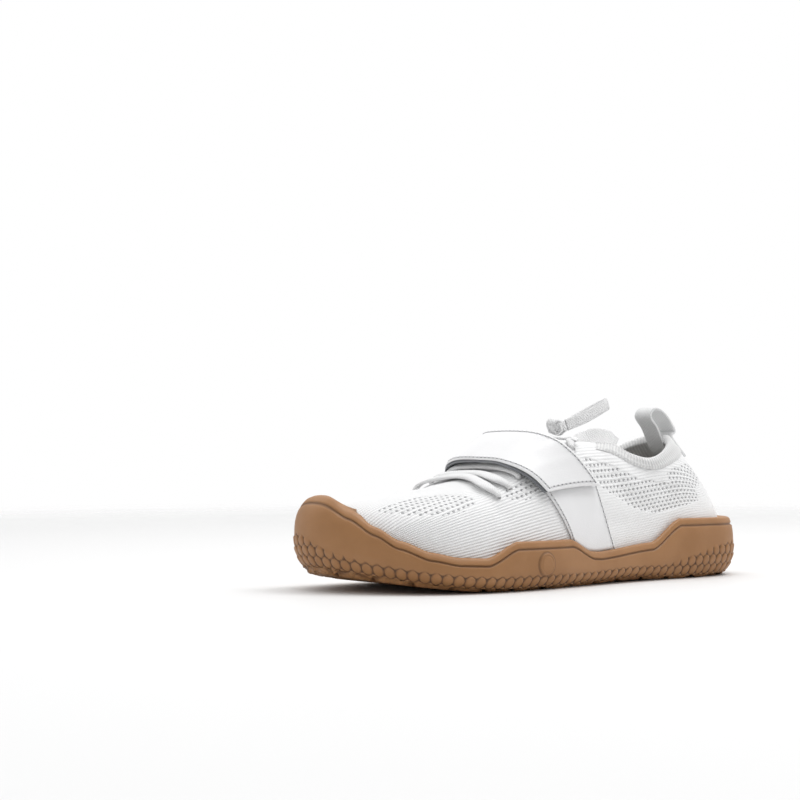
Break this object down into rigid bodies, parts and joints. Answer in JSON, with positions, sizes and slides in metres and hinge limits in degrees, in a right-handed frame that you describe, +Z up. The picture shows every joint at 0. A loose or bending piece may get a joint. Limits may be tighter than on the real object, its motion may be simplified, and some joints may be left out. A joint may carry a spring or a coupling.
{
  "type": "training shoe",
  "caption": "Low white knit training shoe on a gum rubber cup sole, with laces under a wide instep strap, smooth side panels, a ribbed collar and a webbing pull loop at the heel",
  "frame": {"origin": "centre of the flat spot under the heel, on the plane of the floor", "axes": "+X to the toe, +Y to the outer side of the foot, +Z up"},
  "size_m": [0.28, 0.1045, 0.1003],
  "materials": {
    "gum_rubber": "moulded natural gum rubber, satin",
    "knit": "white flat knit with openwork patches",
    "lining": "grey textile lining",
    "smooth_leather": "smooth white synthetic leather, stitched edges",
    "lace": "flat white woven lace",
    "webbing": "light grey woven webbing"
  },
  "bodies": {
    "root": {"outsole": "gum_rubber", "upper": "knit", "insole": "lining", "tongue": "knit", "side_panel_lateral": "smooth_leather", "side_panel_medial": "smooth_leather", "strap": "smooth_leather", "lace_crossings": "lace", "lace_knot": "lace", "lace_bow": "lace", "pull_loop": "webbing"}
  },
  "joints": []
}
